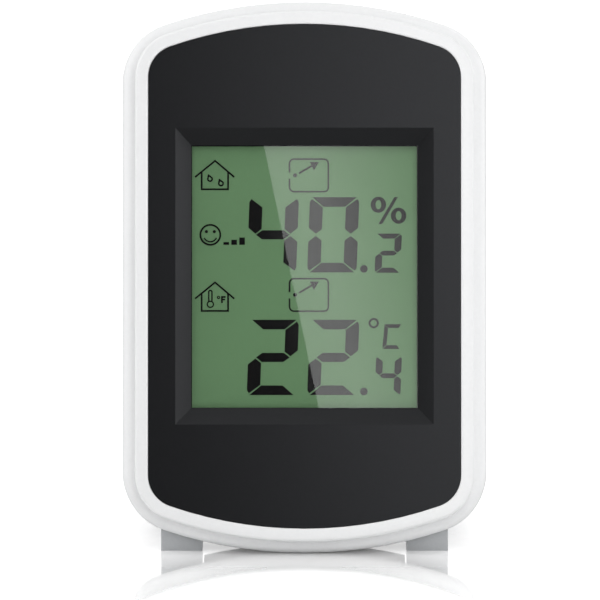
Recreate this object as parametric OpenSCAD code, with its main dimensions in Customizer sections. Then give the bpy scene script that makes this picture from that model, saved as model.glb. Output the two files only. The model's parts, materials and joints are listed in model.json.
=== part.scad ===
// Desk thermometer and hygrometer with a fold-out stand, in millimetres.
// The housing is drawn upright in its own frame: X to the right, Y from the face to the back and
// Z up the face from the lowest point of the flange. It is then leaned back on to its stand.

/* [Body] */
// Width across the flange
body_w = 62; // [61.5:0.5:68]
// Height of the flange along the face
body_h = 93.9; // [92:0.5:102]
// Depth from the rim to the back
body_d = 15; // [15:0.25:18]
// Radius of the flange's arched top and bottom edges
crown_r = 75; // [70:1:100]
// Radius of the flange's corners
corner_r = 10.4; // [9:0.2:13]
// Angle that the face leans back from upright
lean = 12; // [9:0.5:15]
// Thickness of the housing's side wall at the seam
wall_t = 1.2; // [1:0.1:1.5]
// Thickness of the housing's back wall
back_t = 1.8; // [1.4:0.1:2]
// Width of the rounding round the back
back_round_w = 3.1; // [2:0.1:3.4]
// Depth of the rounding round the back
back_round_d = 3; // [2:0.1:3.2]

/* [Rim] */
// Step in from the flange's side edge to the rim
rim_step_side = 2.2; // [1.8:0.1:2.8]
// Step in from the flange's top and bottom edges to the rim
rim_step_end = 1.8; // [1.7:0.1:2.4]
// Height of the rim above the flange
rim_rise = 2.6; // [2.3:0.1:3]
// Visible width of the rim round the front panel
rim_w = 2.2; // [1.8:0.1:2.6]
// Radius of the rim's rounded edges
rim_edge_r = 0.5; // [0.3:0.1:0.8]
// Radius of the rim's arched top and bottom edges
rim_crown_r = 72.2; // [68:0.2:90]
// Radius of the rim's corners
rim_corner_r = 7.7; // [7:0.1:9]
// Depth over which the flange rounds from the seam to its widest line
flange_round = 2; // [1.5:0.1:2.4]

/* [Front panel and window] */
// Depth of the panel's face below the rim
panel_recess = 0.15; // [0.1:0.05:0.4]
// Distance from the rim's side to the display window
window_inset = 9.55; // [9.5:0.05:12]
// Height of the display window
window_h = 44.7; // [40:0.1:45]
// Width of the window's bevel at the sides
bevel_side = 2.7; // [1.5:0.1:3.5]
// Width of the window's bevel at the top and bottom
bevel_end = 2.9; // [1.5:0.1:3.5]
// Thickness of the clear window lens
lens_t = 1; // [0.6:0.1:1]
// Width of the ledge that the lens is taped to
lens_ledge = 1.4; // [1:0.1:1.5]
// Thickness of the adhesive tapes
tape_t = 0.05; // [0.05:0.01:0.1]
// Thickness of the front case's plate
plate_t = 1.3; // [1.3:0.1:1.6]
// Thickness of the front case's skirt
skirt_t = 1.2; // [0.8:0.1:1.2]
// Depth between the front case's skirt and the circuit board
skirt_gap = 0.8; // [0.5:0.1:2]

/* [Display] */
// Width of the glass that rests on the front case at each side of the lens
glass_seat_side = 0.35; // [0.2:0.05:0.4]
// Height of the glass that rests on the front case above and below the lens
glass_seat_end = 2.25; // [2:0.05:2.6]
// Thickness of each display glass
glass_t = 1; // [0.7:0.1:1]
// Height of the contact ledge at the top and bottom of the front glass
glass_ledge = 2.5; // [2.3:0.1:3]
// Thickness of the polarizing film
film_t = 0.2; // [0.1:0.05:0.25]
// Thickness of the green reflector
reflector_t = 0.2; // [0.1:0.05:0.3]
// Width of a rubber connector strip
zebra_w = 1.8; // [1.4:0.1:2]
// Distance from the side of the glass to the end of a rubber connector strip
zebra_inset = 2.5; // [2:0.1:6]
// Wall of the frame that holds the display
frame_wall = 0.9; // [0.7:0.1:1]

/* [Board] */
// Thickness of the circuit board
board_t = 1.2; // [1:0.1:1.2]
// Distance of the board's upper edge above the display's frame
board_margin = 0.55; // [0.2:0.05:0.8]
// Distance of the lower board screws below the middle of the face
board_screw_down = 17; // [14:0.5:18]
// Distance of the upper board screws above the middle of the face
board_screw_up = 19; // [14:0.5:22]
// Radius of the board screws' posts
board_post_r = 1.7; // [1.4:0.1:1.7]

/* [Battery] */
// Radius of the coin cell
cell_r = 10; // [8:0.1:10.1]
// Thickness of the coin cell
cell_t = 3.2; // [2.5:0.1:3.2]
// Thickness of the leaf under the cell
leaf_t = 0.2; // [0.15:0.05:0.3]
// Height of the coin cell's middle above the body's lowest line
cell_z = 22.8; // [22.4:0.1:23.4]
// Thickness of the battery cover
cover_t = 1.5; // [1.2:0.1:1.5]
// Wall of the cover's ring round the cell
cover_ring_t = 0.7; // [0.6:0.05:0.8]
// How far the cover's lugs reach out of its ring
lug_reach = 1.1; // [0.8:0.1:1.2]
// Height of the cover's lugs along its axis
lug_t = 0.9; // [0.7:0.1:1]
// Angle that each lug takes up
lug_angle = 24; // [16:1:30]
// Number of lugs
lug_count = 3; // [2:1:4]
// Turn that frees the cover
cover_turn = 40; // [34:1:44]
// Length of the coin slot across the cover
coin_slot_l = 14; // [8:0.5:18]
// Width of the coin slot
coin_slot_w = 1.9; // [1.4:0.1:2.4]
// Depth of the coin slot
coin_slot_d = 0.8; // [0.4:0.1:0.9]

/* [Stand] */
// Distance from the body's side to the stand's arm
stand_inset = 6.6; // [6.3:0.1:8]
// Width of each arm
arm_w = 7; // [6:0.1:7.2]
// Thickness of the stand
stand_t = 2.6; // [2.2:0.1:2.8]
// Distance from the battery cover to the stand's crossbar
stand_gap = 3.2; // [2.8:0.1:3.6]
// Width of the crossbar at the free end
crossbar_w = 7; // [5:0.1:7]
// Radius of the stand's outer corners
stand_corner_r = 5; // [3:0.2:6.4]
// Depth between the front case's plate and the hinge blocks
hinge_gap = 0.5; // [0.3:0.1:0.9]
// Radius of the hinge pins
pin_r = 1.5; // [1.2:0.1:1.8]
// Length of the hinge pins
pin_l = 2.4; // [2:0.1:2.6]
// Radius of the ball that forms the finger scoop above the folded stand
scoop_r = 6; // [5:0.5:7]
// Depth of the finger scoop
scoop_d = 2.2; // [1.5:0.1:2.4]

/* [Back] */
// Radius of the button's cap
button_r = 3.2; // [2.4:0.1:3.6]
// Travel of the button
button_travel = 0.4; // [0.2:0.05:0.5]
// How far the button stands out of the back
button_proud = 0.5; // [0.4:0.1:1]
// Number of vent slots
vent_count = 5; // [3:1:5]
// Distance of the vent slots below the keyhole
vent_gap = 2.5; // [1.5:0.1:3]
// Distance of the button's hole below the vent slots
button_gap = 2; // [1.4:0.1:2.4]
// Distance of the button's flange above the finger scoop
scoop_gap = 0.6; // [0.4:0.1:0.8]
// Length of a vent slot
vent_l = 20; // [10:0.5:26]
// Radius of the keyhole's round part
keyhole_r = 3.5; // [3:0.1:3.7]
// Radius of the keyhole's narrow end
keyhole_slot_r = 1.7; // [1.4:0.1:1.9]
// Length of the keyhole's narrow part
keyhole_l = 5; // [4:0.1:5.4]
// Distance of the keyhole's round part below the top of the body
keyhole_drop = 14.4; // [13.8:0.1:14.8]

/* [Fasteners] */
// Radius of the case screws' thread
case_screw_r = 1.1; // [0.9:0.05:1.2]
// Radius of the case screws' heads
case_head_r = 2; // [1.7:0.1:2.2]
// Height of the case screws' heads
case_head_h = 1.4; // [1:0.1:1.6]
// Wall of the case screws' bosses
boss_wall = 1.7; // [1.2:0.1:1.7]
// Height of the lower case screws above the body's lowest line
low_screw_z = 8.8; // [8.6:0.1:9]
// Depth of the joint between the case screws' bosses in front of the board's back
boss_drop = 1; // [0.4:0.1:2]
// Radius of the board screws' thread
board_screw_r = 0.8; // [0.6:0.05:0.9]
// Radius of the board screws' heads
board_head_r = 1.7; // [1.4:0.1:1.8]
// Height of the board screws' heads
board_head_h = 0.8; // [0.5:0.1:0.9]

/* [Clearances] */
// Gap round a piece that moves
move_gap = 0.3; // [0.25:0.05:0.4]
// Gap round a piece that is fitted
fit_gap = 0.1; // [0.05:0.01:0.15]
// Gap round a hinge pin in its bore
pin_gap = 0.05; // [0.02:0.01:0.1]

/* [Hidden] */
$fn = 64;

// Colours
WHITE = [0.93, 0.93, 0.92];
GREY = [0.8, 0.81, 0.82];
BLACK = [0.1, 0.1, 0.11];
GREEN = [0.45, 0.57, 0.43];
BOARD_GREEN = [0.1, 0.36, 0.2];
STEEL = [0.75, 0.76, 0.77];
GLASS = [0.8, 0.88, 0.85];

// Steps along the outline's corner arcs and its two crown arcs
CORNER_STEPS = 9;
CROWN_STEPS = 14;
ROUND_STEPS = 5;
KNUCKLE_STEPS = 26;
// Overshoot of a cut past the face it opens
OPEN = 1;

// Rim outline, from which the other outlines grow or shrink
rim_ow = body_w - 2 * rim_step_side;
rim_oh = body_h - 2 * rim_step_end;
mid_z = body_h / 2;
window_w = rim_ow - 2 * window_inset;

// Depths, from the face backwards
panel_t = rim_rise - panel_recess - tape_t;
panel_y1 = panel_recess + panel_t;
plate_y1 = rim_rise + plate_t;
glass_y1 = plate_y1 + glass_t;
rear_glass_y1 = glass_y1 + glass_t;
wide_y = rim_rise + flange_round;
round_y = body_d - back_round_d;
cavity_y1 = body_d - back_t;
cover_y0 = body_d - cover_t;
cell_y1 = cover_y0 - fit_gap;
cell_y0 = cell_y1 - cell_t;
board_y1 = cell_y0 - leaf_t;
board_y0 = board_y1 - board_t;
skirt_y1 = board_y0 - skirt_gap;
boss_joint_y = board_y1 - boss_drop;

// How far the outline stands outside the rim where the rounding of the back begins and ends
round_grow = rim_step_side * (1 - (round_y - wide_y) * tan(lean) / rim_step_end);
back_grow = round_grow - back_round_w;

// Battery well and cover
cover_lip = 0.9;
well_wall = 1.4;
well_gap = 0.4;
ledge_t = 1;
lug_play = 1;
clip_t = 0.2;
clip_angle = 60;
clip_foot = 2;
cover_ring_r0 = cell_r + move_gap;
cover_ring_r1 = cover_ring_r0 + cover_ring_t;
lug_r = cover_ring_r1 + lug_reach;
well_r = cover_ring_r1 + fit_gap * 2;
groove_r = lug_r + fit_gap * 1.5;
cover_r = lug_r + cover_lip;
well_outer_r = cover_r + well_wall;
ledge_y0 = cover_y0 - fit_gap - ledge_t;
lug_y1 = ledge_y0 - fit_gap;
lug_y0 = lug_y1 - lug_t;
groove_y0 = lug_y0 - fit_gap;
well_y0 = board_y1 + well_gap;

// Hinge axis: the stand's outer face is flush with the back when folded and on the table when open
hinge_wall = 1.1;
knuckle_r = (body_d - plate_y1 - hinge_gap - hinge_wall - move_gap) / 2;
hinge_y = body_d - knuckle_r;
hinge_z = (knuckle_r + (hinge_y - wide_y) * sin(lean)) / cos(lean);
notch_r = knuckle_r + move_gap;
stand_w = body_w - 2 * stand_inset;
stand_l = cell_z + cover_r + stand_gap + crossbar_w - hinge_z;
arm_x0 = stand_w / 2 - arm_w;
arm_x1 = stand_w / 2;
hinge_block_x0 = arm_x0 - pin_l - hinge_wall;
hinge_block_z1 = hinge_z + notch_r + hinge_wall;
recess_floor_t = 0.9;
recess_y0 = body_d - stand_t - move_gap;
recess_z1 = hinge_z + stand_l + move_gap;
scoop_face_r = sqrt(pow(scoop_r, 2) - pow(scoop_r - scoop_d, 2));
scoop_z1 = recess_z1 + scoop_face_r + recess_floor_t;

// Where the housing stands: its lowest line is on the table and the whole part is centred
lift = wide_y * sin(lean);
hinge_world_y = hinge_y * cos(lean) + hinge_z * sin(lean);
front_world_y = rim_step_end * sin(lean) + rim_edge_r * (cos(lean) + sin(lean) - 1);
back_world_y = hinge_world_y + stand_l;
shift_y = -(front_world_y + back_world_y) / 2;

// Lens and display
lens_w = window_w + 2 * lens_ledge;
lens_h = window_h + 2 * lens_ledge;
glass_w = lens_w + 2 * glass_seat_side;
glass_h = lens_h + 2 * glass_seat_end;

// Board, inside the skirt, from above the hinge blocks to above the display's frame
board_w = rim_ow - 2 * (wall_t + skirt_t + 2 * fit_gap);
board_z0 = hinge_block_z1 + move_gap;
board_z1 = mid_z + glass_h / 2 + fit_gap + frame_wall + board_margin;
board_screw_x = board_w / 2 - board_head_r - fit_gap;
board_screw_z = [mid_z - board_screw_down, mid_z + board_screw_up];

// Small pieces on the board
cap_r = 4.5;
cap_h = 1.3;
cap_x = 13;
cap_drop = 11.5;
cap_z = board_z1 - cap_drop;
crystal_r = 1;
crystal_l = 6;
crystal_x = 14;
crystal_drop = 16.5;
crystal_z = board_z1 - crystal_drop;
chip_rows = 3;
chip_l = 2;
chip_w = 1.25;
chip_h = 0.8;
chip_x = 20;
chip_drop = 18.5;
chip_z = board_z1 - chip_drop;
chip_pitch = 2.4;
sensor_w = 3;
sensor_h = 1.1;

// Button above the scoop, keyhole below the top, and vents in between with ribs as wide as the slots
button_flange_w = 0.9;
button_flange_t = 0.6;
button_flange_r = button_r + button_flange_w;
button_hole_r = button_r + move_gap / 2;
button_z = scoop_z1 + scoop_gap + button_flange_r;
keyhole_z = body_h - keyhole_drop;
vent_field_z0 = button_z + button_hole_r + button_gap;
vent_field_z1 = keyhole_z - keyhole_r - vent_gap;
vent_w = (vent_field_z1 - vent_field_z0) / (2 * vent_count - 1);
switch_h = 1.6;
plunger_h = 0.7;
switch_w = 4.5;
plunger_r = 0.9;
plunger_depth = 1.3;
button_y0 = board_y1 + switch_h + plunger_h;

// Screw places as [x, z]: the upper case screws are at the middle of the rim's corner arcs
boss_r = case_screw_r + boss_wall;
low_screw_x = hinge_block_x0 - boss_r - move_gap;
high_screw_x = corner_x(outline_sizes(0));
high_screw_z = mid_z + corner_z(outline_sizes(0));
case_screw_spots = [
    for (side = [-1, 1], spot = [[low_screw_x, low_screw_z], [high_screw_x, high_screw_z]])
        [side * spot[0], spot[1]]
];
board_screw_spots = [for (side = [-1, 1], z = board_screw_z) [side * board_screw_x, z]];
head_bore_r = case_head_r + move_gap;
head_sink = 0.9;
head_seat_y = body_d - case_head_h - head_sink;

// Outline sizes [width, height, crown radius, corner radius] at a distance outside the rim
function outline_sizes(grow) =
    let (share = grow / rim_step_side)
    grow >= 0
        ? [rim_ow + 2 * grow, rim_oh + 2 * rim_step_end * share,
           rim_crown_r + (crown_r - rim_crown_r) * share, rim_corner_r + (corner_r - rim_corner_r) * share]
        : [rim_ow + 2 * grow, rim_oh + 2 * grow, rim_crown_r + grow, rim_corner_r + grow];

// Middle of the corner arc, measured from the middle of the face
function corner_x(size) = size[0] / 2 - size[3];
function crown_z(size) = size[1] / 2 - size[2];
function corner_z(size) = crown_z(size) + sqrt(pow(size[2] - size[3], 2) - pow(corner_x(size), 2));
function corner_turn(size) = atan2(corner_z(size) - crown_z(size), corner_x(size));

// Upper right quarter of the outline, from its side up to the middle of the crown
function quarter(size) = concat(
    [for (i = [0:CORNER_STEPS])
        let (a = corner_turn(size) * i / CORNER_STEPS)
        [corner_x(size) + size[3] * cos(a), corner_z(size) + size[3] * sin(a)]],
    [for (i = [1:CROWN_STEPS / 2])
        let (a = corner_turn(size) + (90 - corner_turn(size)) * i / (CROWN_STEPS / 2))
        [size[2] * cos(a), crown_z(size) + size[2] * sin(a)]]);

function reversed(list) = [for (i = [len(list) - 1:-1:0]) list[i]];
function without_last(list) = [for (i = [0:len(list) - 2]) list[i]];

// Whole outline, anticlockwise as the face is seen, with [x, z] from the middle of the face
function outline_points(grow) =
    let (q = quarter(outline_sizes(grow)), open_q = without_last(q))
    concat(q,
           [for (p = reversed(open_q)) [-p[0], p[1]]],
           [for (p = q) [-p[0], -p[1]]],
           [for (p = reversed(open_q)) [p[0], -p[1]]]);

// Rings are [grow, depth] pairs: each is the outline at that distance outside the rim and that depth
function ring_points(rings) =
    [for (ring = rings, p = outline_points(ring[0])) [p[0], ring[1], mid_z + p[1]]];

function ring_faces(first, second, count) =
    [for (i = [0:count - 1])
        let (n = (i + 1) % count)
        each [[first * count + i, first * count + n, second * count + n],
              [first * count + i, second * count + n, second * count + i]]];

// Quarter ellipse from [grow, depth] to [grow, depth], that leaves the first point square to the face
function rounding(from, to) =
    [for (i = [0:ROUND_STEPS])
        let (a = 90 * i / ROUND_STEPS)
        [to[0] + (from[0] - to[0]) * cos(a), from[1] + (to[1] - from[1]) * sin(a)]];

// Closed solid through rings that run from front to back
module loft(rings) {
    count = len(outline_points(0));
    last = len(rings) - 1;
    polyhedron(
        points = ring_points(rings),
        faces = concat(
            [[for (i = [count - 1:-1:0]) i]],
            [for (j = [0:last - 1]) each ring_faces(j, j + 1, count)],
            [[for (i = [0:count - 1]) last * count + i]]));
}

// Closed band that sweeps a profile of [grow, depth] points round the outline
module swept_band(profile) {
    count = len(outline_points(0));
    total = len(profile);
    polyhedron(
        points = ring_points(profile),
        faces = [for (j = [0:total - 1]) each ring_faces(j, (j + 1) % total, count)]);
}

// Flat outline with true arcs, at a distance outside the rim
module outline_face(grow) {
    size = outline_sizes(grow);
    cx = corner_x(size);
    cz = corner_z(size);
    far = 2 * size[2];
    turn = corner_turn(size);
    far_x = far * cos(turn);
    far_z = crown_z(size) + far * sin(turn);
    translate([0, mid_z]) {
        intersection() {
            square([size[0], size[1]], center = true);
            translate([0, crown_z(size)]) circle(size[2]);
            translate([0, -crown_z(size)]) circle(size[2]);
            polygon([[size[0], cz], [cx, cz], [far_x, far_z], [-far_x, far_z], [-cx, cz], [-size[0], cz],
                     [-size[0], -cz], [-cx, -cz], [-far_x, -far_z], [far_x, -far_z], [cx, -cz],
                     [size[0], -cz]]);
        }
        for (side = [-1, 1], end = [-1, 1])
            translate([side * cx, end * cz]) circle(size[3]);
    }
}

// Extrudes a flat shape drawn in X and Z between two depths
module deep(y0, y1) {
    translate([0, y1, 0]) rotate([90, 0, 0]) linear_extrude(height = y1 - y0) children();
}

// Round bar along the depth
module post(x, z, r, y0, y1) {
    translate([x, y1, z]) rotate([90, 0, 0]) cylinder(r = r, h = y1 - y0);
}

// Round bar across the width, between two distances from the middle
module cross_bar(y, z, r, x0, x1) {
    translate([x0, y, z]) rotate([0, 90, 0]) cylinder(r = r, h = x1 - x0);
}

// Plate centred on an upright line, given by its width, height and depths
module plate(w, h, y0, y1, z = mid_z) {
    translate([-w / 2, y0, z - h / 2]) cube([w, y1 - y0, h]);
}

// Part of a ring round the depth axis, between two radii, depths and angles
module ring_part(r0, r1, y0, y1, start, turn) {
    translate([0, y1, 0]) rotate([90, 0, 0]) rotate([0, 0, start])
        rotate_extrude(angle = turn) translate([r0, 0]) square([r1 - r0, y1 - y0]);
}

// Extrudes a flat shape drawn in Y and Z between two distances across the width
module across(x0, x1) {
    translate([x0, 0, 0]) rotate([90, 0, 90]) linear_extrude(height = x1 - x0) children();
}

// The same shape on both sides of the middle
module both_sides() {
    children();
    mirror([1, 0, 0]) children();
}

// Leans the upright housing back on to the table
module placed() {
    translate([0, shift_y, lift]) rotate([-lean, 0, 0]) children();
}

// Plan of the stand, from its hinge axis to its free end, grown by a gap all round
module stand_plan(gap, start) {
    half = stand_w / 2 + gap;
    end = stand_l + gap;
    r = stand_corner_r + gap;
    inner = arm_x0 - gap;
    bar = stand_l - crossbar_w - gap;
    arc = [for (i = [0:CORNER_STEPS])
        let (a = 90 * i / CORNER_STEPS)
        [half - r + r * cos(a), end - r + r * sin(a)]];
    polygon(concat(
        [[half, start]], arc, [for (p = reversed(arc)) [-p[0], p[1]]], [[-half, start]],
        [[-inner, start], [-inner, bar], [inner, bar], [inner, start]]));
}

// White front half of the housing: rim, plate behind the panel, skirt and screw posts
module front_case() {
    edge = rim_edge_r;
    inner_edge = rim_edge_r / 2;
    plate_grow = -wall_t - fit_gap;
    profile = concat(
        reversed(rounding([0, edge], [-edge, 0])),
        [[0, rim_rise], [-rim_w, rim_rise]],
        rounding([-rim_w, inner_edge], [inner_edge - rim_w, 0]));
    color(WHITE) placed() difference() {
        union() {
            swept_band(profile);
            deep(rim_rise, plate_y1) outline_face(plate_grow);
            difference() {
                deep(plate_y1, skirt_y1) difference() {
                    outline_face(plate_grow);
                    outline_face(plate_grow - skirt_t);
                }
                plate(body_w, 2 * board_z0, plate_y1, body_d, 0);
            }
            for (spot = case_screw_spots) post(spot[0], spot[1], boss_r, plate_y1, boss_joint_y);
            for (spot = board_screw_spots) post(spot[0], spot[1], board_post_r, plate_y1, board_y0);
        }
        plate(lens_w + 2 * fit_gap, lens_h + 2 * fit_gap, rim_rise - OPEN, plate_y1 + OPEN);
        for (spot = case_screw_spots) post(spot[0], spot[1], case_screw_r + pin_gap, plate_y1, body_d);
        for (spot = board_screw_spots) post(spot[0], spot[1], board_screw_r + pin_gap, plate_y1, body_d);
    }
}

// Frustum that cuts the window, with the same slope past both faces of the panel
module window_cut() {
    past = OPEN / panel_t;
    front = [window_w / 2 + bevel_side * (1 + past), window_h / 2 + bevel_end * (1 + past)];
    rear = [window_w / 2 - bevel_side * past, window_h / 2 - bevel_end * past];
    corners = [[-1, -1], [1, -1], [1, 1], [-1, 1]];
    polyhedron(
        points = concat(
            [for (c = corners) [c[0] * front[0], panel_recess - OPEN, mid_z + c[1] * front[1]]],
            [for (c = corners) [c[0] * rear[0], panel_y1 + OPEN, mid_z + c[1] * rear[1]]]),
        faces = concat(
            [[3, 2, 1, 0], [4, 5, 6, 7]],
            [for (i = [0:3]) [i, (i + 1) % 4, (i + 1) % 4 + 4, i + 4]]));
}

// Black panel set into the rim, with a bevelled window
module front_panel() {
    color(BLACK) placed() difference() {
        deep(panel_recess, panel_y1) outline_face(-rim_w - tape_t);
        window_cut();
    }
}

// Adhesive between the panel and the front case
module panel_tape() {
    color("dimgray") placed() difference() {
        deep(panel_y1, rim_rise) outline_face(-rim_w - skirt_t);
        plate(lens_w + 2 * fit_gap, lens_h + 2 * fit_gap, panel_y1 - OPEN, rim_rise + OPEN);
    }
}

// Adhesive between the panel and the lens
module lens_tape() {
    color("dimgray") placed() difference() {
        plate(lens_w, lens_h, panel_y1, rim_rise);
        plate(window_w + lens_ledge / 2, window_h + lens_ledge / 2, panel_y1 - OPEN, rim_rise + OPEN);
    }
}

// Clear lens behind the window
module window_lens() {
    color(GLASS, 0.4) placed() plate(lens_w, lens_h, rim_rise, rim_rise + lens_t);
}

// Polarizing film on the front of the display
module display_film() {
    color(GREEN) placed() plate(lens_w - 2 * fit_gap, lens_h - 2 * fit_gap, plate_y1 - film_t, plate_y1);
}

// Front glass of the display, which rests on the back of the front case's plate
module display_front_glass() {
    color(GLASS) placed() plate(glass_w, glass_h, plate_y1, glass_y1);
}

// Rear glass, shorter so that the front glass's contacts are bare
module display_rear_glass() {
    color(GLASS) placed() plate(glass_w, glass_h - 2 * glass_ledge, glass_y1, rear_glass_y1);
}

// Green reflector behind the display
module display_reflector() {
    color(GREEN) placed()
        plate(glass_w, glass_h - 2 * glass_ledge, rear_glass_y1, rear_glass_y1 + reflector_t);
}

// Frame that holds the display between the front case and the board
module display_frame() {
    inner_w = glass_w + 2 * fit_gap;
    inner_h = glass_h + 2 * fit_gap;
    color("ivory") placed() difference() {
        plate(inner_w + 2 * frame_wall, inner_h + 2 * frame_wall, plate_y1, board_y0);
        plate(inner_w, inner_h, plate_y1 - OPEN, board_y0 + OPEN);
    }
}

// Rubber strip that joins the display's contacts to the board, at the top or the bottom
module connector_strip(end) {
    strip_z = mid_z + end * (glass_h - glass_ledge) / 2;
    color("dimgray") placed() plate(glass_w - 2 * zebra_inset, zebra_w, glass_y1, board_y0, strip_z);
}

module connector_strip_top() connector_strip(1);

module connector_strip_bottom() connector_strip(-1);

// Circuit board, screwed to the front case's posts
module main_board() {
    color(BOARD_GREEN) placed() difference() {
        plate(board_w, board_z1 - board_z0, board_y0, board_y1, (board_z0 + board_z1) / 2);
        for (spot = board_screw_spots)
            post(spot[0], spot[1], board_screw_r + fit_gap, board_y0 - OPEN, board_y1 + OPEN);
    }
}

// Cap of black resin over the controller chip
module controller_cap() {
    dome = [for (i = [0:ROUND_STEPS])
        let (a = 90 * i / ROUND_STEPS)
        [cap_r * cos(a), cap_h * sin(a)]];
    color(BLACK) placed() translate([-cap_x, board_y1, cap_z]) rotate([-90, 0, 0])
        rotate_extrude() polygon(concat([[0, 0]], dome));
}

// Clock crystal in its metal can, lying on the board
module clock_crystal() {
    color(STEEL) placed()
        translate([crystal_x, board_y1 + crystal_r, crystal_z]) cylinder(r = crystal_r, h = crystal_l);
}

// Capacitors and resistors beside the controller
module board_chips() {
    color("tan") placed()
        for (row = [0:chip_rows - 1], side = [-1, 1])
            translate([side * chip_x - chip_l / 2, board_y1, chip_z + row * chip_pitch])
                cube([chip_l, chip_h, chip_w]);
}

// Humidity and temperature sensor behind the vents, with its sensing hole
module humidity_sensor() {
    sensor_z = (vent_field_z0 + vent_field_z1) / 2;
    color("gainsboro") placed() difference() {
        plate(sensor_w, sensor_w, board_y1, board_y1 + sensor_h, sensor_z);
        post(0, sensor_z, sensor_w / 4, board_y1 + sensor_h / 2, board_y1 + sensor_h + OPEN);
    }
}

// Body of the push switch under the button
module button_switch() {
    color(STEEL) placed() difference() {
        plate(switch_w, switch_w, board_y1, board_y1 + switch_h, button_z);
        post(0, button_z, plunger_r + fit_gap, board_y1 + switch_h - plunger_depth, button_y0);
    }
}

// Plunger of the push switch
module switch_plunger() {
    foot_y = board_y1 + switch_h - plunger_depth + button_travel + fit_gap;
    color(BLACK) placed() post(0, button_z, plunger_r, foot_y, button_y0);
}

// Screws that hold the board
module board_screws() {
    color(STEEL) placed() for (spot = board_screw_spots) difference() {
        union() {
            post(spot[0], spot[1], board_head_r, board_y1, board_y1 + board_head_h);
            post(spot[0], spot[1], board_screw_r, plate_y1 + fit_gap, board_y1 + board_head_h / 2);
        }
        screw_cross(spot, board_head_r, board_y1 + board_head_h, board_head_h / 2);
    }
}

// Cross recess in a screw's head
module screw_cross(spot, head_r, y1, depth) {
    slot = head_r / 3;
    translate([0, 0, spot[1]]) for (turn = [0, 90])
        translate([spot[0], y1, 0]) rotate([0, turn, 0])
            translate([-head_r * 0.7, -depth, -slot / 2]) cube([head_r * 1.4, depth + OPEN, slot]);
}

// Leaf under the cell
module negative_contact() {
    color(STEEL) placed() plate(cell_r, cell_r, board_y1, cell_y0, cell_z);
}

// Clip that touches the cell's side, with its foot on the board
module positive_contact() {
    clip_r0 = cell_r + pin_gap;
    clip_r1 = clip_r0 + clip_t;
    foot_r0 = (clip_r0 + clip_r1) / 2;
    color(STEEL) placed() translate([0, 0, cell_z]) {
        ring_part(clip_r0, clip_r1, board_y1, lug_y0 - fit_gap, 90 - clip_angle / 2, clip_angle);
        ring_part(foot_r0, well_r + clip_foot, board_y1, board_y1 + clip_t,
                  90 - clip_angle / 4, clip_angle / 2);
    }
}

// Coin cell: the narrower negative cap faces the board
module coin_cell() {
    cap = cell_t / 5;
    color(STEEL) placed() {
        post(0, cell_z, cell_r, cell_y0 + cap, cell_y1);
        post(0, cell_z, cell_r - cap, cell_y0, cell_y0 + cap);
    }
}

// Twist-off battery cover with a ring of lugs and a coin slot
module battery_cover() {
    lug_r0 = cover_ring_r1 - cover_ring_t / 2;
    color(WHITE) placed() translate([0, 0, cell_z]) difference() {
        union() {
            post(0, 0, cover_r, cover_y0, body_d);
            ring_part(cover_ring_r0, cover_ring_r1, lug_y0, cover_y0, 0, 360);
            for (i = [0:lug_count - 1])
                ring_part(lug_r0, lug_r, lug_y0 + pin_gap, lug_y1, i * 360 / lug_count, lug_angle);
        }
        plate(coin_slot_l, coin_slot_w, body_d - coin_slot_d, body_d + OPEN, 0);
    }
}

// Push button for the temperature unit, held in by its flange
module unit_button() {
    color(GREY) placed() {
        post(0, button_z, button_r, button_y0, body_d + button_proud);
        post(0, button_z, button_flange_r, button_y0, button_y0 + button_flange_t);
    }
}

// Outer form of the rear half: rounded flange, tapered side and rounded back
module rear_form() {
    loft(concat(
        reversed(rounding([rim_step_side, wide_y], [0, rim_rise])),
        rounding([round_grow, round_y], [back_grow, body_d])));
}

// What stands inside the rear half: hinge blocks, recess floor, battery well and screw bosses
module rear_inside() {
    floor_y0 = recess_y0 - recess_floor_t;
    both_sides() translate([hinge_block_x0, hinge_y - notch_r - hinge_wall, 0])
        cube([body_w, body_d, hinge_block_z1]);
    translate([0, 0, hinge_z]) deep(floor_y0, body_d) stand_plan(move_gap + recess_floor_t, 0);
    plate(2 * scoop_r, 2 * scoop_face_r + 2 * recess_floor_t, floor_y0, body_d, recess_z1);
    post(0, cell_z, well_outer_r, well_y0, body_d);
    for (spot = case_screw_spots) post(spot[0], spot[1], boss_r, boss_joint_y, body_d);
}

// Notch for a hinge knuckle, open below and to the side
module hinge_notch() {
    front = hinge_y - notch_r + fit_gap;
    across(arm_x0 - move_gap, body_w) {
        translate([hinge_y, hinge_z]) circle(notch_r);
        translate([front, hinge_z - body_d]) square([2 * body_d, body_d]);
    }
    cross_bar(hinge_y, hinge_z, pin_r + pin_gap, arm_x0 - pin_l - move_gap, arm_x0);
}

// Bayonet well for the battery cover
module battery_well() {
    cut_r0 = well_r - fit_gap;
    translate([0, 0, cell_z]) {
        post(0, 0, well_r, well_y0 - OPEN, body_d);
        post(0, 0, cover_r + move_gap / 2, cover_y0 - fit_gap, body_d + OPEN);
        for (i = [0:lug_count - 1]) {
            free = i * 360 / lug_count - cover_turn;
            groove_turn = lug_angle + cover_turn + 2 * lug_play;
            ring_part(cut_r0, groove_r, groove_y0, ledge_y0, free - lug_play, groove_turn);
            ring_part(cut_r0, groove_r - pin_gap, lug_y0, cover_y0, free - lug_play / 2,
                      lug_angle + lug_play);
        }
    }
}

// Keyhole for hanging the housing on a wall screw
module keyhole() {
    deep(cavity_y1 - OPEN, body_d + OPEN) translate([0, keyhole_z]) {
        circle(keyhole_r);
        translate([-keyhole_slot_r + pin_gap, 0]) square([2 * (keyhole_slot_r - pin_gap), keyhole_l]);
        translate([0, keyhole_l]) circle(keyhole_slot_r);
    }
}

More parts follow.
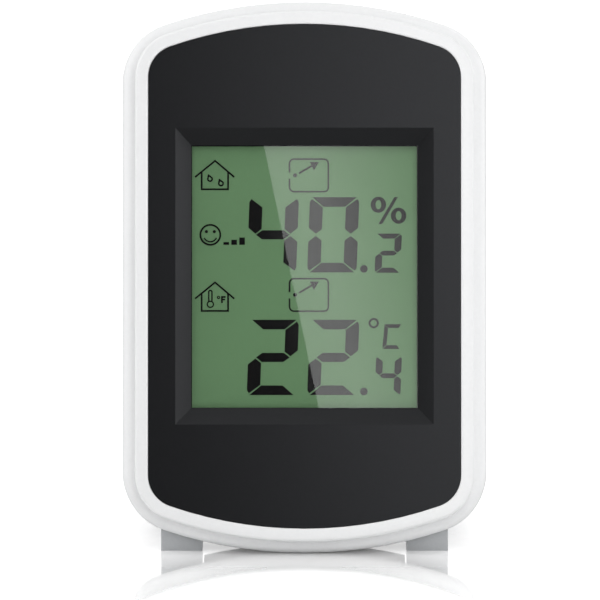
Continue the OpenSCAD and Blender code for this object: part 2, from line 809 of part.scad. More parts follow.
// White rear half of the housing
module rear_case() {
    color(WHITE) placed() difference() {
        rear_form();
        difference() {
            deep(rim_rise - OPEN, cavity_y1) translate([0, mid_z]) polygon(outline_points(-wall_t));
            rear_inside();
        }
        both_sides() hinge_notch();
        translate([0, 0, hinge_z]) deep(recess_y0, body_d + OPEN) stand_plan(move_gap, 0);
        translate([0, body_d + scoop_r - scoop_d, recess_z1]) sphere(scoop_r);
        battery_well();
        for (spot = case_screw_spots) {
            post(spot[0], spot[1], case_screw_r + fit_gap, boss_joint_y - OPEN, body_d);
            post(spot[0], spot[1], head_bore_r, head_seat_y, body_d + OPEN);
        }
        for (i = [0:vent_count - 1])
            plate(vent_l, vent_w, cavity_y1 - OPEN, body_d + OPEN, vent_field_z0 + vent_w * (2 * i + 0.5));
        keyhole();
        post(0, button_z, button_hole_r, cavity_y1 - OPEN, body_d + OPEN);
    }
}

// Screws that hold the two halves together
module case_screws() {
    color(STEEL) placed() for (spot = case_screw_spots) difference() {
        union() {
            post(spot[0], spot[1], case_head_r, head_seat_y, head_seat_y + case_head_h);
            post(spot[0], spot[1], case_screw_r, plate_y1 + fit_gap, head_seat_y + case_head_h / 2);
        }
        screw_cross(spot, case_head_r, head_seat_y + case_head_h, case_head_h / 2);
    }
}

// Fold-out stand, open and flat on the table, drawn round its hinge axis: each knuckle has a square toe
module stand() {
    root_turn = 25;
    root_y = knuckle_r * cos(root_turn);
    arc = [for (i = [0:KNUCKLE_STEPS])
        let (a = root_turn + (180 - root_turn) * i / KNUCKLE_STEPS)
        [knuckle_r * cos(a), knuckle_r * sin(a)]];
    toe = [[-knuckle_r, -knuckle_r], [root_y, -knuckle_r]];
    color(GREY) translate([0, shift_y + hinge_world_y, knuckle_r]) {
        translate([0, 0, -knuckle_r]) linear_extrude(height = stand_t) stand_plan(0, 0);
        both_sides() {
            across(arm_x0, arm_x1) polygon(concat(arc, toe));
            cross_bar(0, 0, pin_r, arm_x0 - pin_l, arm_x0 + arm_w / 2);
        }
    }
}

front_case();
front_panel();
panel_tape();
lens_tape();
window_lens();
display_film();
display_front_glass();
display_rear_glass();
display_reflector();
display_frame();
connector_strip_top();
connector_strip_bottom();
main_board();
controller_cap();
clock_crystal();
board_chips();
humidity_sensor();
button_switch();
switch_plunger();
board_screws();
negative_contact();
positive_contact();
coin_cell();
battery_cover();
unit_button();
rear_case();
case_screws();
stand();
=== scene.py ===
"""Looks of a desk thermometer and hygrometer with a fold-out stand, built round its CAD frame."""
import json
import math

import bmesh
import bpy
from mathutils import Matrix, Vector


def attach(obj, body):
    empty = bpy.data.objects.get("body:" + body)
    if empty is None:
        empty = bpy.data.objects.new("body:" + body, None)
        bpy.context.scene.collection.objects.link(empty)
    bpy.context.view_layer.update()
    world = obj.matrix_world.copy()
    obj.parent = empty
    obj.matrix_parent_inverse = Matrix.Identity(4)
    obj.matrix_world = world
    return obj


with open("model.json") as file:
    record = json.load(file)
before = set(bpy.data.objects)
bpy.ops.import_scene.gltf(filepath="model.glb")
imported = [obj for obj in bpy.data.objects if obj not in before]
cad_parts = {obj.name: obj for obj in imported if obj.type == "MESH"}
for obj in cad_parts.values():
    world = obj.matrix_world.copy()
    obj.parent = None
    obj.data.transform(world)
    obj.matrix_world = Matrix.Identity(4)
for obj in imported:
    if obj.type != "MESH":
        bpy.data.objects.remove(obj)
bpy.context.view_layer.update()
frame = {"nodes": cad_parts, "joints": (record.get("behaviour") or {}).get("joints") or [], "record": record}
scene = bpy.context.scene

MM = 0.001

# The face's own frame, read from the battery cover's joint: its axis is square to the face
BODY_DEPTH = 15.0
CELL_HEIGHT = 22.8
FACE_MIDDLE = 46.95
FILM_DEPTH = 3.7
LENS_DEPTH = 2.6
cover_joint = next(j for j in frame["joints"] if j["name"] == "cover_twist")
RIGHT = Vector((1, 0, 0))
BACK = Vector(cover_joint["axis"]).normalized()
UP = RIGHT.cross(BACK)
FOOT = Vector(cover_joint["pos_m"]) - BACK * BODY_DEPTH * MM - UP * CELL_HEIGHT * MM


def on_face(x, depth, height):
    """Point in metres from millimetres across the face, behind it and up it."""
    return FOOT + (RIGHT * x + BACK * depth + UP * height) * MM


# Camera
LENS = 900.0
SENSOR = 36.0
VIEW_ELEVATION = math.radians(9.3)
PICTURE_WIDTH = 101.94
NEAREST_SEEN = 0.1
FARTHEST_SEEN = 100
AIM = on_face(-0.77, 0.15, 42.87)
VIEW = Vector((0, math.cos(VIEW_ELEVATION), -math.sin(VIEW_ELEVATION)))
DISTANCE = PICTURE_WIDTH * MM * LENS / SENSOR
EYE = AIM - VIEW * DISTANCE
camera_data = bpy.data.cameras.new("camera")
camera_data.lens = LENS
camera_data.sensor_width = SENSOR
camera_data.clip_start = NEAREST_SEEN
camera_data.clip_end = FARTHEST_SEEN
camera = bpy.data.objects.new("camera", camera_data)
camera.location = EYE
camera.rotation_mode = "QUATERNION"
camera.rotation_quaternion = VIEW.to_track_quat("-Z", "Y")
scene.collection.objects.link(camera)
scene.camera = camera

# Shader nodes
WHITE = (1, 1, 1)


def node_tree(name):
    """New material with only its output node: returns the material, its tree and the output."""
    made = bpy.data.materials.new(name)
    made.use_nodes = True
    tree = made.node_tree
    tree.nodes.clear()
    output = tree.nodes.new("ShaderNodeOutputMaterial")
    return made, tree, output


def coloured(tree, kind, colour):
    """Shader node of one even colour."""
    node = tree.nodes.new(kind)
    node.inputs["Color"].default_value = (*colour, 1)
    return node


def maths(tree, operation, *values):
    """Output of a maths node. Each value is a number or the output of another node."""
    node = tree.nodes.new("ShaderNodeMath")
    node.operation = operation
    for socket, value in zip(node.inputs, values):
        if isinstance(value, (int, float)):
            socket.default_value = value
        else:
            tree.links.new(value, socket)
    return node.outputs["Value"]


def ramp(tree, value, start, end, low, high, interpolation="LINEAR"):
    """Output that goes from low to high while the value goes from start to end."""
    node = tree.nodes.new("ShaderNodeMapRange")
    node.interpolation_type = interpolation
    node.inputs["From Min"].default_value = start
    node.inputs["From Max"].default_value = end
    node.inputs["To Min"].default_value = low
    node.inputs["To Max"].default_value = high
    tree.links.new(value, node.inputs["Value"])
    return node.outputs["Result"]


def mixed(tree, share, first, second):
    """Shader that goes from the first to the second while the share goes from 0 to 1."""
    node = tree.nodes.new("ShaderNodeMixShader")
    tree.links.new(share, node.inputs["Fac"])
    tree.links.new(first, node.inputs[1])
    tree.links.new(second, node.inputs[2])
    return node.outputs["Shader"]


def separated(tree, vector):
    """Outputs X, Y and Z of a vector."""
    node = tree.nodes.new("ShaderNodeSeparateXYZ")
    tree.links.new(vector, node.inputs["Vector"])
    return node.outputs


def distance_to(tree, place, middle):
    """Output with the distance between a place and a fixed middle."""
    node = tree.nodes.new("ShaderNodeVectorMath")
    node.operation = "DISTANCE"
    node.inputs[1].default_value = middle
    tree.links.new(place, node.inputs[0])
    return node.outputs["Value"]


def noise(tree, scale, detail=2.0):
    """Noise over the object's own coordinates, with its scale in features per metre."""
    coordinates = tree.nodes.new("ShaderNodeTexCoord")
    texture = tree.nodes.new("ShaderNodeTexNoise")
    texture.inputs["Scale"].default_value = scale
    texture.inputs["Detail"].default_value = detail
    tree.links.new(coordinates.outputs["Object"], texture.inputs["Vector"])
    return texture.outputs["Fac"]


# Materials
MOTTLE_SIZE = 3
MOTTLE_DETAIL = 3
MOTTLE_DARK_BELOW = 0.3
MOTTLE_LIGHT_ABOVE = 0.7
SHEEN_SIZE = 8
SHEEN_DETAIL = 4
RELIEF_HEIGHT = 0.03


def moulded(name, dark, light, rough, grain, relief, **sockets):
    """Material with mottled colour, uneven roughness and fine surface grain."""
    made, tree, output = node_tree(name)
    shader = tree.nodes.new("ShaderNodeBsdfPrincipled")
    tree.links.new(shader.outputs["BSDF"], output.inputs["Surface"])
    mottle = tree.nodes.new("ShaderNodeValToRGB")
    low, high = mottle.color_ramp.elements
    low.position = MOTTLE_DARK_BELOW
    high.position = MOTTLE_LIGHT_ABOVE
    low.color = (*dark, 1)
    high.color = (*light, 1)
    tree.links.new(noise(tree, grain / MOTTLE_SIZE, MOTTLE_DETAIL), mottle.inputs["Fac"])
    tree.links.new(mottle.outputs["Color"], shader.inputs["Base Color"])
    sheen = ramp(tree, noise(tree, grain / SHEEN_SIZE, SHEEN_DETAIL), 0, 1, rough[0], rough[1])
    tree.links.new(sheen, shader.inputs["Roughness"])
    bump = tree.nodes.new("ShaderNodeBump")
    bump.inputs["Strength"].default_value = relief
    bump.inputs["Distance"].default_value = RELIEF_HEIGHT * MM
    tree.links.new(noise(tree, grain), bump.inputs["Height"])
    tree.links.new(bump.outputs["Normal"], shader.inputs["Normal"])
    for socket, value in sockets.items():
        shader.inputs[socket.replace("_", " ")].default_value = value
    return made


# Share of light that a clear sheet reflects head on, and how steeply it grows at grazing angles
HEAD_ON = 0.04
GRAZING_POWER = 5


def clear(name, tint, rough):
    """Thin clear sheet: what is behind it shows, with a reflection that grows at grazing angles."""
    made, tree, output = node_tree(name)
    see = coloured(tree, "ShaderNodeBsdfTransparent", tint)
    gloss = tree.nodes.new("ShaderNodeBsdfGlossy")
    gloss.inputs["Roughness"].default_value = rough
    edge = tree.nodes.new("ShaderNodeLayerWeight")
    steep = maths(tree, "POWER", edge.outputs["Facing"], GRAZING_POWER)
    share = maths(tree, "MULTIPLY_ADD", steep, 1 - HEAD_ON, HEAD_ON)
    sheet = mixed(tree, share, see.outputs["BSDF"], gloss.outputs["BSDF"])
    tree.links.new(sheet, output.inputs["Surface"])
    return made


MATERIALS = {
    "white_plastic": moulded("white_plastic", (0.86, 0.865, 0.87), (0.88, 0.885, 0.89),
                             rough=(0.32, 0.38), grain=5000, relief=0.02),
    # grey_plastic colours the stand: its grey and slight blue are painted shade, for the feet's darkness in
    # the shade under the body
    "grey_plastic": moulded("grey_plastic", (0.51, 0.525, 0.54), (0.54, 0.555, 0.57),
                            rough=(0.32, 0.38), grain=5000, relief=0.02),
    "black_plastic": moulded("black_plastic", (0.0042, 0.0044, 0.005), (0.0056, 0.0058, 0.0066),
                             rough=(0.28, 0.33), grain=6500, relief=0.08,
                             Specular_IOR_Level=0.36, Specular_Tint=(0.93, 0.95, 1, 1)),
    "dark_rubber": moulded("dark_rubber", (0.05, 0.05, 0.05), (0.08, 0.08, 0.08),
                           rough=(0.7, 0.85), grain=4000, relief=0.4),
    "clear_lens": clear("clear_lens", (0.97, 0.98, 0.975), rough=0.01),
    "display_green": moulded("display_green", (0.155, 0.279, 0.142), (0.163, 0.293, 0.15),
                             rough=(0.55, 0.65), grain=9000, relief=0.05, Specular_IOR_Level=0.1),
    "display_glass": clear("display_glass", (0.9, 0.96, 0.93), rough=0.02),
    "cream_plastic": moulded("cream_plastic", (0.72, 0.7, 0.63), (0.78, 0.76, 0.7),
                             rough=(0.45, 0.6), grain=4000, relief=0.2),
    "board_green": moulded("board_green", (0.02, 0.13, 0.055), (0.03, 0.17, 0.075),
                           rough=(0.3, 0.45), grain=1500, relief=0.3),
    "steel": moulded("steel", (0.55, 0.55, 0.56), (0.66, 0.66, 0.66),
                     rough=(0.22, 0.38), grain=3000, relief=0.15, Metallic=1.0),
    "chip_tan": moulded("chip_tan", (0.44, 0.33, 0.2), (0.52, 0.4, 0.26),
                        rough=(0.5, 0.65), grain=3000, relief=0.2),
}
# Black for the printed segments and marks, and also for the line of painted shade round the window
INK_AND_WINDOW_SHADE = moulded("ink_and_window_shade", (0.004, 0.0034, 0.004), (0.0055, 0.0047, 0.0055),
                      rough=(0.06, 0.1), grain=6000, relief=0.01, Specular_IOR_Level=0.2)

# Shading of the CAD pieces
WELD_DISTANCE = 0.002
SMOOTH_BELOW = math.radians(28)


def smooth_shading(name, angle):
    """Geometry nodes that join split vertices and shade smooth across edges flatter than the angle."""
    group = bpy.data.node_groups.new(name, "GeometryNodeTree")
    group.interface.new_socket("Geometry", in_out="INPUT", socket_type="NodeSocketGeometry")
    group.interface.new_socket("Geometry", in_out="OUTPUT", socket_type="NodeSocketGeometry")
    start = group.nodes.new("NodeGroupInput")
    end = group.nodes.new("NodeGroupOutput")
    weld = group.nodes.new("GeometryNodeMergeByDistance")
    weld.inputs["Distance"].default_value = WELD_DISTANCE * MM
    faces = group.nodes.new("GeometryNodeSetShadeSmooth")
    faces.domain = "FACE"
    fold = group.nodes.new("GeometryNodeInputMeshEdgeAngle")
    steep = group.nodes.new("FunctionNodeCompare")
    steep.data_type = "FLOAT"
    steep.operation = "GREATER_THAN"
    steep.inputs["B"].default_value = angle
    edges = group.nodes.new("GeometryNodeSetShadeSmooth")
    edges.domain = "EDGE"
    edges.inputs["Shade Smooth"].default_value = False
    group.links.new(start.outputs["Geometry"], weld.inputs["Geometry"])
    group.links.new(weld.outputs["Geometry"], faces.inputs["Geometry"])
    group.links.new(faces.outputs["Geometry"], edges.inputs["Geometry"])
    group.links.new(fold.outputs["Unsigned Angle"], steep.inputs["A"])
    group.links.new(steep.outputs["Result"], edges.inputs["Selection"])
    group.links.new(edges.outputs["Geometry"], end.inputs["Geometry"])
    return group


SMOOTH = smooth_shading("smooth_shading", SMOOTH_BELOW)
slot_of = {part["node"]: part["material_slot"] for part in frame["record"]["subparts"]}
for name, piece in frame["nodes"].items():
    piece.data.materials.clear()
    piece.data.materials.append(MATERIALS[slot_of[name]])
    if "custom_normal" in piece.data.attributes:
        piece.data.attributes.remove(piece.data.attributes["custom_normal"])
    shading = piece.modifiers.new("smooth_shading", "NODES")
    shading.node_group = SMOOTH


def mesh_object(name, mesh, material):
    """Object of one material in the scene, from a mesh that is drawn and then freed."""
    data = bpy.data.meshes.new(name)
    mesh.to_mesh(data)
    mesh.free()
    data.materials.append(material)
    made = bpy.data.objects.new(name, data)
    scene.collection.objects.link(made)
    return made


# Display segments: flat shapes in millimetres from the middle of the window, laid on the film
INK_THICKNESS = 0.04
MITRE_LIMIT = 0.3


def film_row(mesh, outline, depth):
    """Vertices along an outline at a depth behind the face."""
    return [mesh.verts.new(on_face(x, depth, FACE_MIDDLE + z)) for x, z in outline]


def solid(mesh, outline):
    """Adds a closed flat solid with the given outline."""
    front = film_row(mesh, outline, FILM_DEPTH - INK_THICKNESS)
    rear = film_row(mesh, outline, FILM_DEPTH)
    mesh.faces.new(front)
    mesh.faces.new(reversed(rear))
    count = len(outline)
    for i in range(count):
        j = (i + 1) % count
        mesh.faces.new((front[j], front[i], rear[i], rear[j]))


def band(mesh, outer, inner):
    """Adds a closed flat ring between two outlines with as many points."""
    outer_front = film_row(mesh, outer, FILM_DEPTH - INK_THICKNESS)
    outer_rear = film_row(mesh, outer, FILM_DEPTH)
    inner_front = film_row(mesh, inner, FILM_DEPTH - INK_THICKNESS)
    inner_rear = film_row(mesh, inner, FILM_DEPTH)
    rows = [outer_front, inner_front, inner_rear, outer_rear, outer_front]
    count = len(outer)
    for i in range(count):
        j = (i + 1) % count
        for one, other in zip(rows, rows[1:]):
            mesh.faces.new((one[i], one[j], other[j], other[i]))


def stroke(mesh, points, width, closed=False):
    """Adds a line of even width along points, with mitred corners."""
    count = len(points)
    spots = [Vector(p) for p in points]
    left = []
    right = []
    for i, spot in enumerate(spots):
        before = spots[i - 1] if closed or i > 0 else None
        after = spots[(i + 1) % count] if closed or i < count - 1 else None
        into = (spot - before).normalized() if before is not None else (after - spot).normalized()
        out = (after - spot).normalized() if after is not None else into
        normal = Vector((-into.y - out.y, into.x + out.x)).normalized()
        reach = width / 2 / max(MITRE_LIMIT, normal.dot(Vector((-into.y, into.x))))
        left.append(tuple(spot + normal * reach))
        right.append(tuple(spot - normal * reach))
    if closed:
        band(mesh, left, right)
    else:
        solid(mesh, left + right[::-1])


def arc(x, z, radius, start, end, steps):
    """Points along an arc, with its angles in degrees."""
    turns = [math.radians(start + (end - start) * i / steps) for i in range(steps + 1)]
    return [(x + radius * math.cos(a), z + radius * math.sin(a)) for a in turns]


def oval(x, z, half_width, half_height, steps=32):
    """Points round an ellipse."""
    turns = [math.tau * i / steps for i in range(steps)]
    return [(x + half_width * math.cos(a), z + half_height * math.sin(a)) for a in turns]


def ring(mesh, x, z, radius, width, steps=32):
    """Adds a round line."""
    stroke(mesh, arc(x, z, radius, 0, 360, steps)[:-1], width, True)


def disc(mesh, x, z, radius, steps=24):
    """Adds a filled circle."""
    solid(mesh, arc(x, z, radius, 0, 360, steps)[:-1])


def ink(name, draw, *places):
    """Makes one piece of the display from a function that draws into a mesh: printed marks, and also the
    line of painted shade round the window.
    """
    mesh = bmesh.new()
    draw(mesh, *places)
    bmesh.ops.recalc_face_normals(mesh, faces=mesh.faces)
    piece = mesh_object(name, mesh, INK_AND_WINDOW_SHADE)
    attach(piece, "housing")


# Seven-segment digits, drawn at the size of the main ones and scaled
DIGIT_W = 8.4
DIGIT_H = 12.8
BAR_T = 1.62
BAR_OUTER_END = 0.44
BAR_INNER_END = 2.37
POST_T = 2.24
MIDDLE_HALF_T = 0.77
MIDDLE_TIP = 1.34
MIDDLE_SHOULDER = 2.36
SLANT = 0.038
LIT = {"0": "abcdef", "2": "abged", "4": "fgbc"}


def segment_outlines():
    """Outlines of the seven segments, with X from the left edge and Z from the middle."""
    half = DIGIT_H / 2
    top = [
        (BAR_OUTER_END, half), (DIGIT_W - BAR_OUTER_END, half),
        (DIGIT_W - BAR_INNER_END, half - BAR_T), (BAR_INNER_END, half - BAR_T),
    ]
    post = [
        (0.33, half - 0.3), (0, half - 0.83), (0, 1.19),
        (1.22, 0.2), (POST_T, 0.98), (POST_T, half - 1.72),
    ]
    middle = [
        (MIDDLE_TIP, 0), (MIDDLE_SHOULDER, MIDDLE_HALF_T), (DIGIT_W - MIDDLE_SHOULDER, MIDDLE_HALF_T),
        (DIGIT_W - MIDDLE_TIP, 0), (DIGIT_W - MIDDLE_SHOULDER, -MIDDLE_HALF_T),
        (MIDDLE_SHOULDER, -MIDDLE_HALF_T),
    ]

    def flipped(shape, across, down):
        return [(DIGIT_W - x if across else x, -z if down else z) for x, z in shape]

    return {
        "a": top,
        "d": flipped(top, False, True),
        "f": post,
        "b": flipped(post, True, False),
        "e": flipped(post, False, True),
        "c": flipped(post, True, True),
        "g": middle,
    }


SEGMENTS = segment_outlines()


def digit(mesh, symbol, left, middle, scale=1.0):
    """Adds the lit segments of one digit."""
    for name in LIT[symbol]:
        outline = [(left + (x + z * SLANT) * scale, middle + z * scale) for x, z in SEGMENTS[name]]
        solid(mesh, outline)


FIRST_X = -9.59
SECOND_X = 0.69
SMALL_X = 12.06
SMALL = 0.52
SMALL_DROP = 3.12
POINT_X = 10.1
POINT_R = 0.65
POINT_DROP = 5.8
HUMIDITY_Z = 7.19
TEMPERATURE_Z = -13.69


def reading(mesh, symbols, middle):
    """Adds two main digits, a point and a small digit."""
    digit(mesh, symbols[0], FIRST_X, middle)
    digit(mesh, symbols[1], SECOND_X, middle)
    digit(mesh, symbols[2], SMALL_X, middle - SMALL_DROP, SMALL)
    disc(mesh, POINT_X, middle - POINT_DROP, POINT_R)


def percent_mark(mesh):
    """Adds a percent sign: two ovals and a slanted bar."""
    outer = (1.31, 1.37)
    inner = (0.5, 0.78)
    for x, z in ((12.57, 12.32), (16.01, 10.45)):
        band(mesh, oval(x, z, *outer), oval(x, z, *inner))
    solid(mesh, [(15.29, 13.63), (15.88, 13.63), (13.23, 9.04), (12.6, 9.04)])


def celsius_mark(mesh):
    """Adds a degree ring and the three bars of a square C."""
    ring(mesh, 11.77, -7.85, radius=0.71, width=0.34)
    solid(mesh, [(13.62, -8.04), (16.45, -8.04), (16.0, -8.66), (14.25, -8.66)])
    solid(mesh, [(13.62, -8.12), (14.2, -8.7), (13.95, -11.55), (13.25, -12.05)])
    solid(mesh, [(13.28, -12.24), (16.12, -12.24), (15.68, -11.62), (13.98, -11.62)])


HOUSE_X = -15.22
HOUSE_LINE = 0.29
HUMIDITY_APEX = 19.8
TEMPERATURE_APEX = -0.92


def house(mesh, apex):
    """Adds the outline of a house that hangs from the apex of its roof."""
    eaves = apex - 2.77
    stroke(mesh, [(HOUSE_X - 3.4, eaves), (HOUSE_X, apex), (HOUSE_X + 3.27, eaves)], HOUSE_LINE)
    wall_top = apex - 1.92
    base = apex - 4.85
    left = HOUSE_X - 2.28
    right = HOUSE_X + 2.21
    stroke(mesh, [(left, wall_top), (left, base), (right, base), (right, wall_top)], HOUSE_LINE)


def drop(mesh, x, z):
    """Adds the outline of a drop of water, with its tip to the upper left."""
    tip = (x - 0.24, z + 0.52)
    belly = arc(x, z - 0.12, radius=0.375, start=155, end=400, steps=16)
    stroke(mesh, [tip] + belly, width=0.26, closed=True)


def humidity_house(mesh):
    """Adds a house with two drops in it."""
    house(mesh, HUMIDITY_APEX)
    drop(mesh, -16.09, 16.82)
    drop(mesh, -14.23, 16.06)


def temperature_house(mesh):
    """Adds a house with a thermometer and a small degree F in it."""
    house(mesh, TEMPERATURE_APEX)
    bulb_x = -16.02
    bulb_z = -4.65
    tube_r = 0.27
    tube_foot = bulb_z + 0.5
    tube_top = -2.55
    ring(mesh, bulb_x, bulb_z, radius=0.52, width=0.22)
    tube = arc(bulb_x, tube_top, tube_r, start=180, end=0, steps=12)
    stroke(mesh, [(bulb_x - tube_r, tube_foot)] + tube + [(bulb_x + tube_r, tube_foot)], width=0.24)
    ring(mesh, -14.63, -3.48, radius=0.2, width=0.17, steps=20)
    stroke(mesh, [(-13.42, -3.39), (-14.05, -3.39), (-14.05, -4.42)], width=0.29)
    stroke(mesh, [(-13.9, -3.83), (-13.5, -3.83)], width=0.24)


def comfort_mark(mesh):
    """Adds a smiling face."""
    face_x = -16.03
    ring(mesh, face_x, 7.19, radius=1.695, width=0.31, steps=40)
    disc(mesh, -16.7, 7.73, radius=0.27)
    disc(mesh, -15.35, 7.73, radius=0.27)
    stroke(mesh, arc(face_x, 7.15, radius=1.14, start=205, end=335, steps=18), width=0.23)


def level_bars(mesh):
    """Adds three bars of rising height."""
    bar_width = 0.95
    foot = 5.49
    for step in range(3):
        left = -13.8 + step * 1.35
        right = left + bar_width
        top = 5.95 + step * 0.39
        solid(mesh, [(left, foot), (right, foot), (right, top), (left, top)])


WINDOW_W = 38.5
WINDOW_H = 44.7
# Widths of the painted shade line round the window: how far it reaches under the panel and how far it shows
SHADE_LINE_HIDDEN = 0.5
SHADE_LINE_SHOWN = 0.1


def painted_window_shade(mesh):
    """Adds a thin black line round the display, just inside the window: painted shade that stands for the
    shadow at the window's inner edge.
    """
    outlines = []
    for out in (SHADE_LINE_HIDDEN, -SHADE_LINE_SHOWN):
        x = WINDOW_W / 2 + out
        z = WINDOW_H / 2 + out
        outlines.append([(-x, -z), (x, -z), (x, z), (-x, z)])
    band(mesh, *outlines)


HUMIDITY_TREND_TOP = 20.09
TEMPERATURE_TREND_TOP = -0.28


def trend_mark(mesh, top):
    """Adds a rounded frame that is open on its left, with an arrow from a dot in the opening."""
    left = -2.55
    right = 4.05
    bottom = top - 5.54
    round_r = 0.76
    corner_steps = 8
    corners = [
        (left + round_r, bottom + round_r, 180), (right - round_r, bottom + round_r, 270),
        (right - round_r, top - round_r, 0), (left + round_r, top - round_r, 90),
    ]
    path = [(left, top - 3.37)]
    for x, z, start in corners:
        path += arc(x, z, round_r, start, start + 90, corner_steps)
    path += [(left, top - 2.28)]
    stroke(mesh, path, width=0.27)
    disc(mesh, left + 0.95, top - 2.76, radius=0.35)
    stroke(mesh, [(left + 1.62, top - 2.41), (left + 3.9, top - 1.08)], width=0.32)
    solid(mesh, [(left + 4.99, top - 0.5), (left + 3.44, top - 0.48), (left + 4.16, top - 1.92)])


ink("humidity_digits", reading, "402", HUMIDITY_Z)
ink("temperature_digits", reading, "224", TEMPERATURE_Z)
ink("percent_mark", percent_mark)
ink("celsius_mark", celsius_mark)
ink("humidity_house", humidity_house)
ink("temperature_house", temperature_house)
ink("comfort_mark", comfort_mark)
ink("level_bars", level_bars)
# Painted shade: a black line on the film where the window's inner edge shades the display
ink("painted_window_shade", painted_window_shade)
ink("humidity_trend", trend_mark, HUMIDITY_TREND_TOP)
ink("temperature_trend", trend_mark, TEMPERATURE_TREND_TOP)


# Lights
def area_light(name, centre, facing, upward, width, height, radiance):
    """Rectangular lamp of even radiance that looks along a direction, with its height along another."""
    data = bpy.data.lights.new(name, "AREA")
    data.shape = "RECTANGLE"
    data.size = width
    data.size_y = height
    data.energy = radiance * math.pi * width * height
    lamp = bpy.data.objects.new(name, data)
    depth = -facing.normalized()
    side = upward.cross(depth).normalized()
    lamp.matrix_world = Matrix((side, depth.cross(side), depth)).transposed().to_4x4()
    lamp.location = centre
    lamp.visible_camera = False
    scene.collection.objects.link(lamp)
    return lamp


def mirrored(x, height, reach):
    """Where the lens shows something at this point of the face: the mirrored sight line at a distance."""
    spot = on_face(x, LENS_DEPTH, height)
    sight = (spot - EYE).normalized()
    bounced = sight - BACK * 2 * sight.dot(BACK)
    return spot + bounced * reach


# A bright card, whose left edge shows in the lens as a slanted line across the display,
# and a softbox beside it
CARD_REACH = 0.2
CARD_WIDTH = 0.03
CARD_HEIGHT = 0.16
CARD_BRIGHT = 1.85
CARD_FAINT = 0.6
CARD_FADE_START = 0.008
CARD_FADE_END = 0.026
SOFTBOX_WIDTH = 0.09
SOFTBOX_RADIANCE = 2.0
edge_top = mirrored(-6.88, 69.2, CARD_REACH)
edge_bottom = mirrored(2.42, 24.65, CARD_REACH)
edge_line = (edge_top - edge_bottom).normalized()
edge_middle = (edge_top + edge_bottom) / 2
card_facing = (on_face(0, LENS_DEPTH, FACE_MIDDLE) - mirrored(0, FACE_MIDDLE, CARD_REACH)).normalized()
beside = card_facing.cross(edge_line).normalized()
area_light("softbox", edge_middle + beside * (CARD_WIDTH + SOFTBOX_WIDTH / 2), card_facing, edge_line,
           SOFTBOX_WIDTH, CARD_HEIGHT, SOFTBOX_RADIANCE)


def card_light():
    """Glow that fades across the card, away from its left edge."""
    made, tree, output = node_tree("glare_card")
    glow = coloured(tree, "ShaderNodeEmission", WHITE)
    place = separated(tree, tree.nodes.new("ShaderNodeTexCoord").outputs["Object"])
    fade = ramp(tree, place["X"], CARD_FADE_START, CARD_FADE_END, CARD_BRIGHT, CARD_FAINT)
    tree.links.new(fade, glow.inputs["Strength"])
    tree.links.new(glow.outputs["Emission"], output.inputs["Surface"])
    return made


card_mesh = bmesh.new()
card_corners = ((0, -1), (CARD_WIDTH, -1), (CARD_WIDTH, 1), (0, 1))
card_mesh.faces.new([card_mesh.verts.new((x, side * CARD_HEIGHT / 2, 0)) for x, side in card_corners])
card = mesh_object("glare_card", card_mesh, card_light())
card.matrix_world = Matrix((beside, edge_line, beside.cross(edge_line))).transposed().to_4x4()
card.location = edge_middle
card.visible_camera = False
card.visible_diffuse = False
card.visible_shadow = False

WORLD_UP = Vector((0, 0, 1))
MIDDLE = Vector((0, -0.01, 0.045))


def studio_light(name, azimuth, elevation, distance, width, height, radiance):
    """Rectangular lamp that looks at the middle of the object from a direction in degrees."""
    turn = math.radians(azimuth)
    rise = math.radians(elevation)
    away = Vector((math.sin(turn) * math.cos(rise), -math.cos(turn) * math.cos(rise), math.sin(rise)))
    return area_light(name, MIDDLE + away * distance, -away, WORLD_UP, width, height, radiance)


studio_light("key_light", azimuth=5, elevation=60, distance=0.75, width=0.6, height=0.5, radiance=1.36)
studio_light("right_light", azimuth=93, elevation=10, distance=0.7, width=0.28, height=0.34, radiance=2.5)
studio_light("back_light", azimuth=150, elevation=40, distance=0.75, width=0.4, height=0.4, radiance=0.85)
left_light = studio_light("left_light", azimuth=-84, elevation=20, distance=0.7,
                          width=0.4, height=0.5, radiance=2.4)
left_light.visible_glossy = False

# World: soft light from above, and what shows in gloss is white behind the object and dark in front of
# it, where reflections in the panel look
SKY_LOW = 0.3
SKY_HIGH = 0.74
FRONT_DARK = 0.06
DARK_UP_TO = -0.75
WHITE_FROM = 0.35


def studio_world():
    """White for the camera, graded for gloss and glass, and soft light for the rest."""
    world = bpy.data.worlds.new("studio")
    world.use_nodes = True
    tree = world.node_tree
    tree.nodes.clear()
    output = tree.nodes.new("ShaderNodeOutputWorld")
    direction = separated(tree, tree.nodes.new("ShaderNodeTexCoord").outputs["Generated"])
    path = tree.nodes.new("ShaderNodeLightPath").outputs
    sky = coloured(tree, "ShaderNodeBackground", WHITE)
    tree.links.new(ramp(tree, direction["Z"], 0, 1, SKY_LOW, SKY_HIGH), sky.inputs["Strength"])
    seen = coloured(tree, "ShaderNodeBackground", WHITE)
    graded = ramp(tree, direction["Y"], DARK_UP_TO, WHITE_FROM, FRONT_DARK, 1)
    tree.links.new(maths(tree, "MAXIMUM", graded, path["Is Camera Ray"]), seen.inputs["Strength"])
    looks = maths(tree, "MAXIMUM", path["Is Camera Ray"], path["Is Glossy Ray"])
    looks = maths(tree, "MAXIMUM", looks, path["Is Transmission Ray"])
    studio = mixed(tree, looks, sky.outputs["Background"], seen.outputs["Background"])
    tree.links.new(studio, output.inputs["Surface"])
    return world


scene.world = studio_world()

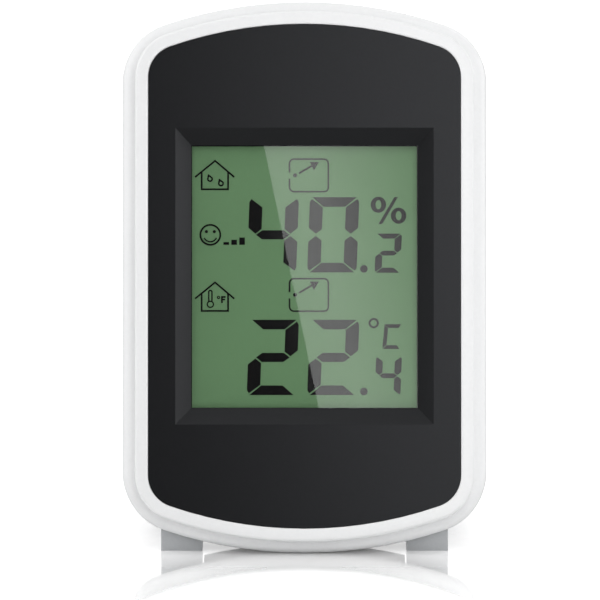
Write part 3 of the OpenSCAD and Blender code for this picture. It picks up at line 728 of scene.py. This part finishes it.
# Floor, with its places in metres
FLOOR_HALF = 15
FLOOR_TONE = (0.9, 0.9, 0.9)
FLOOR_TONE_IN_GLOSS = (0.5, 0.5, 0.5)
GLOW_MIDDLE = (0, 0.002, 0)
GLOW_START = 0.01
GLOW_FULL = 0.055
GLOW_STRENGTH = 0.85
POLISH_TONE = (0.98, 0.98, 0.98)
POLISH_ROUGH = 0.05
POLISH_MOST = 0.75
POLISH_BOW = 40
POLISH_END = -0.047
POLISH_FULL = -0.033
POLISH_MIDDLE = (0, -0.04, 0)
POLISH_INNER_R = 0.036
POLISH_OUTER_R = 0.05
POLISH_INNER_X = 0.028
POLISH_OUTER_X = 0.032
POLISH_BY_FEET = 0.65
FEET_END = -0.018
AHEAD_OF_FEET = -0.036


def polish_share(tree, place):
    """How much the floor mirrors: a patch in front of the object, whose front edge is a bow."""
    spot = separated(tree, place)
    squared = maths(tree, "MULTIPLY", spot["X"], spot["X"])
    bowed = maths(tree, "MULTIPLY_ADD", squared, POLISH_BOW, spot["Y"])
    share = ramp(tree, bowed, POLISH_END, POLISH_FULL, 0, POLISH_MOST, "SMOOTHSTEP")
    apart = distance_to(tree, place, POLISH_MIDDLE)
    aside = maths(tree, "ABSOLUTE", spot["X"])
    limits = [
        ramp(tree, apart, POLISH_INNER_R, POLISH_OUTER_R, 1, 0, "SMOOTHSTEP"),
        ramp(tree, spot["Y"], FEET_END, AHEAD_OF_FEET, POLISH_BY_FEET, 1),
        ramp(tree, aside, POLISH_INNER_X, POLISH_OUTER_X, 1, 0, "SMOOTHSTEP"),
    ]
    for limit in limits:
        share = maths(tree, "MULTIPLY", share, limit)
    return share


def floor_white():
    """Matte floor that glows for the camera away from the object, so that it fades to white."""
    made, tree, output = node_tree("floor_white")
    place = tree.nodes.new("ShaderNodeTexCoord").outputs["Object"]
    path = tree.nodes.new("ShaderNodeLightPath").outputs
    matte = coloured(tree, "ShaderNodeBsdfDiffuse", FLOOR_TONE)
    dim = coloured(tree, "ShaderNodeBsdfDiffuse", FLOOR_TONE_IN_GLOSS)
    toned = mixed(tree, path["Is Glossy Ray"], matte.outputs["BSDF"], dim.outputs["BSDF"])
    glow = coloured(tree, "ShaderNodeEmission", WHITE)
    apart = distance_to(tree, place, GLOW_MIDDLE)
    fade = ramp(tree, apart, GLOW_START, GLOW_FULL, 0, GLOW_STRENGTH, "SMOOTHSTEP")
    tree.links.new(maths(tree, "MULTIPLY", fade, path["Is Camera Ray"]), glow.inputs["Strength"])
    lit = tree.nodes.new("ShaderNodeAddShader")
    tree.links.new(toned, lit.inputs[0])
    tree.links.new(glow.outputs["Emission"], lit.inputs[1])
    gloss = coloured(tree, "ShaderNodeBsdfGlossy", POLISH_TONE)
    gloss.inputs["Roughness"].default_value = POLISH_ROUGH
    share = maths(tree, "MULTIPLY", polish_share(tree, place), path["Is Camera Ray"])
    surface = mixed(tree, share, lit.outputs["Shader"], gloss.outputs["BSDF"])
    tree.links.new(surface, output.inputs["Surface"])
    return made


floor_mesh = bmesh.new()
bmesh.ops.create_grid(floor_mesh, x_segments=1, y_segments=1, size=FLOOR_HALF)
floor = mesh_object("floor", floor_mesh, floor_white())

scene.view_settings.view_transform = "Standard"
